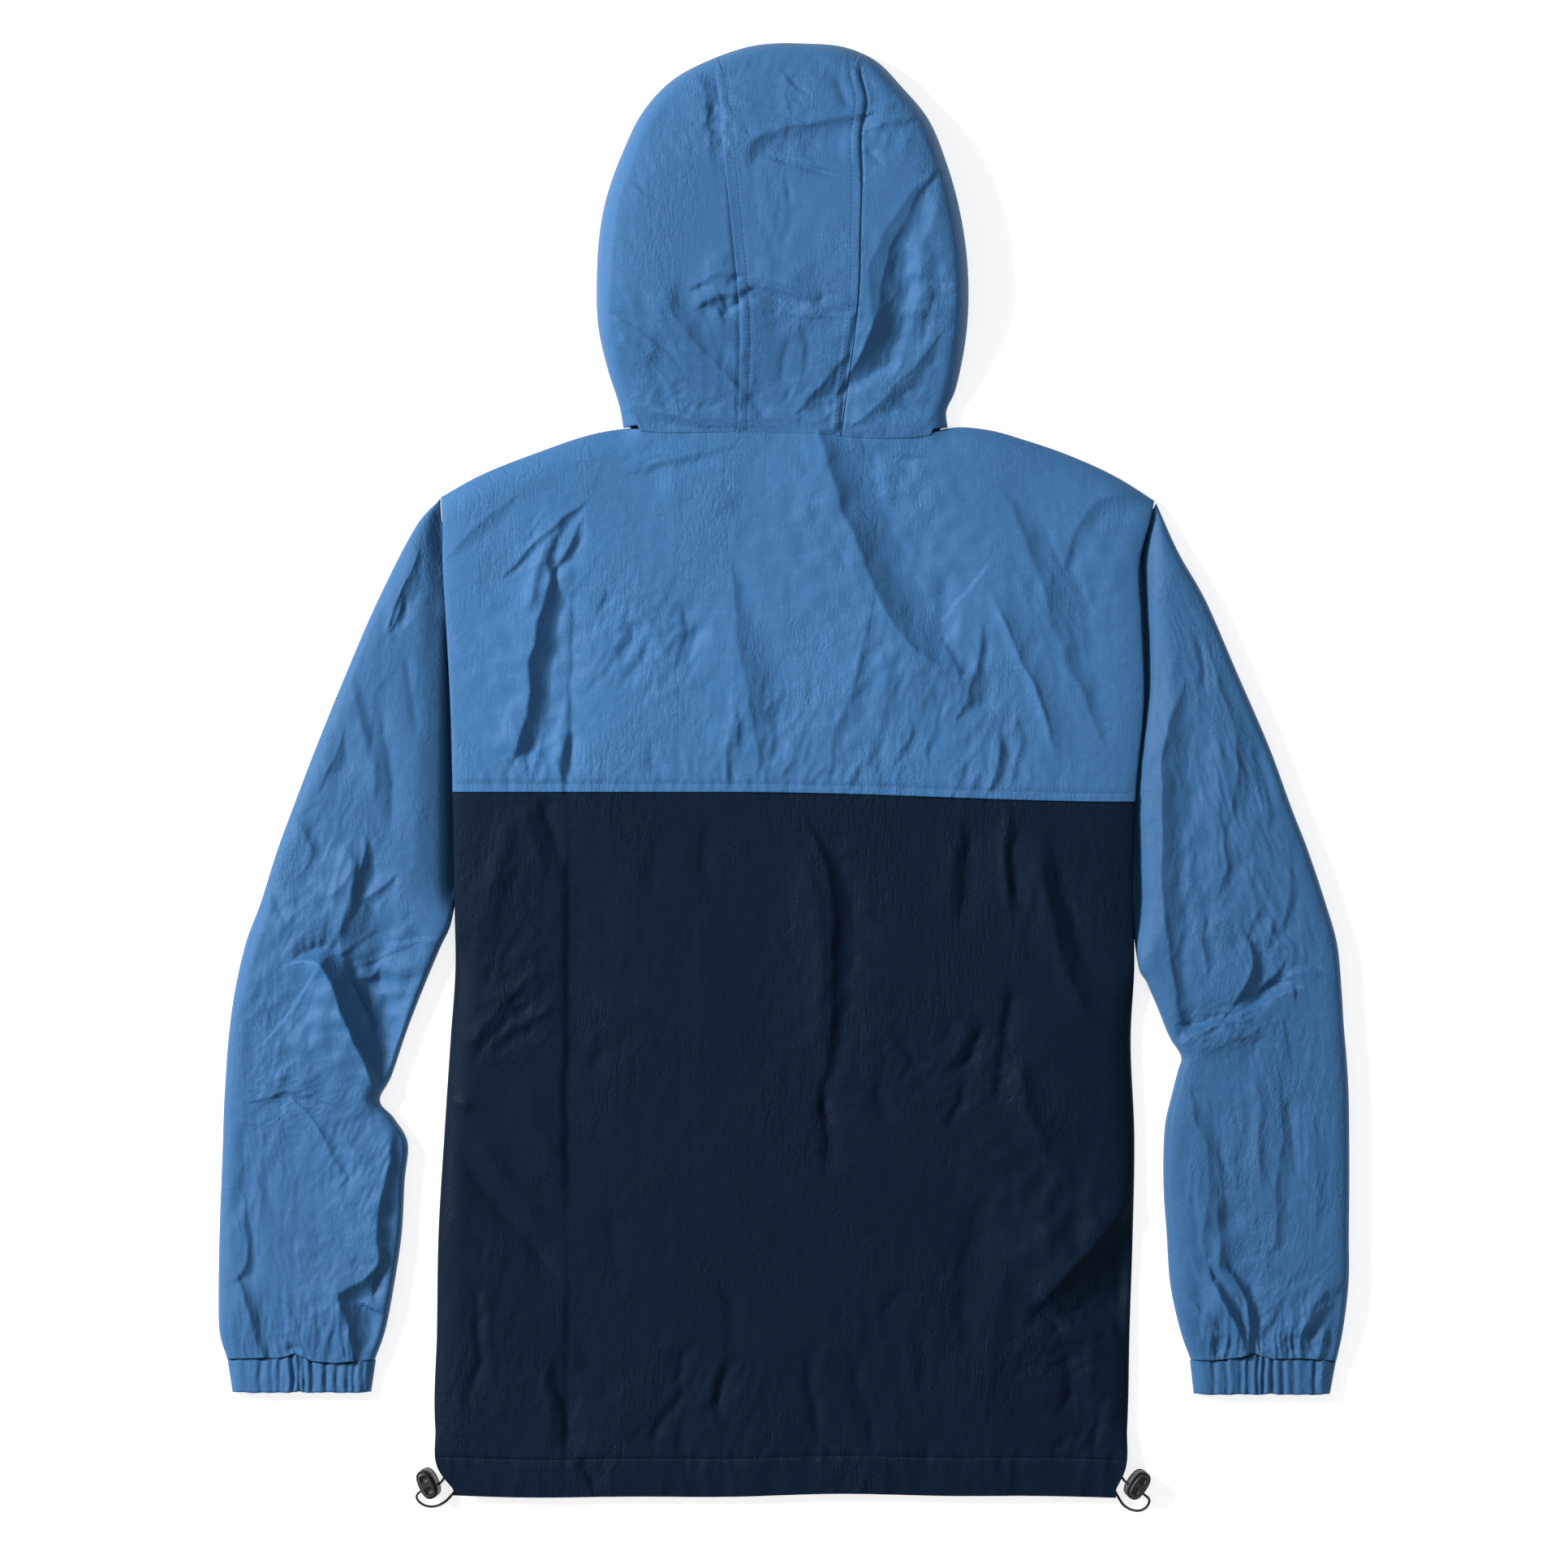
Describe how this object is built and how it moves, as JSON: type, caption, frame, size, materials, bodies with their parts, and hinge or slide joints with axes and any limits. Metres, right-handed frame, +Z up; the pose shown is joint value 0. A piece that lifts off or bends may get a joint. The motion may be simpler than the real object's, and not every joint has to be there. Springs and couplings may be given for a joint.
{
  "type": "hooded pullover anorak laid flat",
  "caption": "Hooded pullover anorak of crinkled nylon laid flat on its front, with light blue hood, yoke and sleeves, dark blue body, elastic cuffs and a cord hem with locks.",
  "frame": {"origin": "middle of the laid-out garment, on the surface it lies on", "axes": "+Z up from that surface, +Y from the hem towards the hood, +X to the right as the back is seen from above"},
  "size_m": [0.7808, 1.0144, 0.04],
  "materials": {
    "blue_nylon": "crinkled nylon with a soft sheen, light blue",
    "navy_nylon": "crinkled nylon with a soft sheen, dark navy blue",
    "black_plastic": "satin moulded plastic, black",
    "elastic_cord": "braided cover over elastic, black"
  },
  "bodies": {
    "garment": {"back_yoke": "blue_nylon", "back_body": "navy_nylon", "front_yoke": "blue_nylon", "front_body": "navy_nylon", "sleeve_left": "blue_nylon", "sleeve_right": "blue_nylon", "cuff_left": "blue_nylon", "cuff_right": "blue_nylon", "hood_left": "blue_nylon", "hood_right": "blue_nylon", "hood_centre": "blue_nylon", "cord_lock_left_barrel": "black_plastic", "cord_lock_right_barrel": "black_plastic", "hem_cord_left": "elastic_cord", "hem_cord_right": "elastic_cord"},
    "plunger_left": {"cord_lock_left_plunger": "black_plastic"},
    "plunger_right": {"cord_lock_right_plunger": "black_plastic"}
  },
  "joints": [
    {"name": "press_left_lock", "type": "slide", "parent": "garment", "child": "plunger_left", "axis": [0.1271, 0.0566, -0.9903], "range_m": [0, 0.003], "stiffness_N_per_m": 300, "springref_m": -0.002},
    {"name": "press_right_lock", "type": "slide", "parent": "garment", "child": "plunger_right", "axis": [-0.1154, 0.0778, -0.9903], "range_m": [0, 0.003], "stiffness_N_per_m": 300, "springref_m": -0.002}
  ]
}
